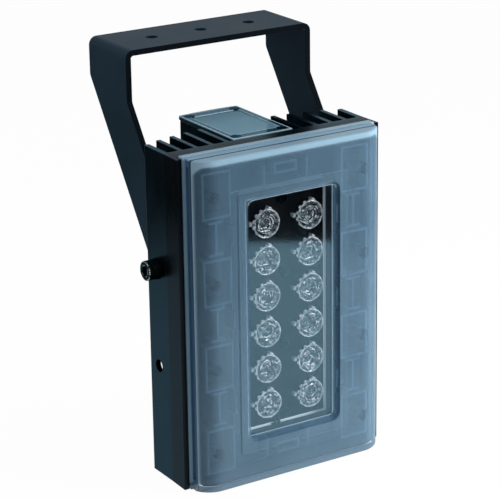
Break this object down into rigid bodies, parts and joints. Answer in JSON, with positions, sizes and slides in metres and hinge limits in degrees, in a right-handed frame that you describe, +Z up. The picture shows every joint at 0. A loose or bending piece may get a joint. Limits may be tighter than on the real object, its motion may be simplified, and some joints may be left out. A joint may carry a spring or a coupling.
{
  "type": "white light illuminator",
  "caption": "Weatherproof white light illuminator: finned black extrusion with a frosted front cover and clear lens window, rear supply housing and a tilting U bracket.",
  "frame": {"origin": "centre of the bounding box at its base, where the lamp stands upright on its lower end", "axes": "+Z up the lamp's long side, -Y out of the lit front, +X to the right seen from the front"},
  "size_m": [0.1358, 0.1098, 0.2239],
  "materials": {
    "anodised_black": "black anodised, satin",
    "powder_black": "black powder coat, fine texture",
    "screw_black": "black oxide",
    "screw_steel": "bright zinc",
    "cover_clear": "clear polycarbonate, frosted round a polished window",
    "cap_smoke": "smoked clear polycarbonate",
    "lens_clear": "clear acrylic, polished",
    "frame_grey": "pale grey moulding",
    "plastic_black": "moulded, satin",
    "board_black": "black solder mask",
    "board_green": "green solder mask",
    "led_amber": "phosphor under silicone",
    "rubber_black": "moulded rubber",
    "ferrite": "matt core and winding",
    "can_aluminium": "plain blue sleeve",
    "terminal_green": "moulded",
    "friction_fibre": "pressed fibre"
  },
  "bodies": {
    "lamp": {"board_screws": "screw_black", "body_extrusion": "anodised_black", "border_frame": "frame_grey", "bottom_cap": "plastic_black", "bottom_cap_gasket": "rubber_black", "bottom_cap_screws": "screw_black", "cable_gland": "plastic_black", "cover_gasket": "rubber_black", "cover_screws": "screw_black", "driver_board": "board_green", "driver_capacitors": "can_aluminium", "driver_transformer": "ferrite", "friction_washers": "friction_fibre", "front_cover": "cover_clear", "gland_locknut": "plastic_black", "gland_nut": "plastic_black", "gland_seal": "rubber_black", "housing_screws": "screw_steel", "lead_grommet": "rubber_black", "led_board": "board_black", "led_emitter_01": "led_amber", "led_emitter_02": "led_amber", "led_emitter_03": "led_amber", "led_emitter_04": "led_amber", "led_emitter_05": "led_amber", "led_emitter_06": "led_amber", "led_emitter_07": "led_amber", "led_emitter_08": "led_amber", "led_emitter_09": "led_amber", "led_emitter_10": "led_amber", "led_emitter_11": "led_amber", "led_emitter_12": "led_amber", "led_leads": "rubber_black", "led_optic_01": "lens_clear", "led_optic_02": "lens_clear", "led_optic_03": "lens_clear", "led_optic_04": "lens_clear", "led_optic_05": "lens_clear", "led_optic_06": "lens_clear", "led_optic_07": "lens_clear", "led_optic_08": "lens_clear", "led_optic_09": "lens_clear", "led_optic_10": "lens_clear", "led_optic_11": "lens_clear", "led_optic_12": "lens_clear", "light_sensor": "plastic_black", "lock_washers": "screw_black", "pivot_screws": "screw_black", "rear_housing": "anodised_black", "sensor_board": "board_green", "terminal_block": "terminal_green", "top_cap": "cap_smoke", "top_cap_gasket": "rubber_black", "top_cap_screws": "screw_black"},
    "bracket": {"mounting_bracket": "powder_black", "pivot_nuts": "screw_steel"}
  },
  "joints": [
    {"name": "bracket_tilt", "type": "hinge", "parent": "lamp", "child": "bracket", "pos_m": [0, -0.01815, 0.1164], "axis": [-1, 0, 0], "range_deg": [0, 105]}
  ]
}
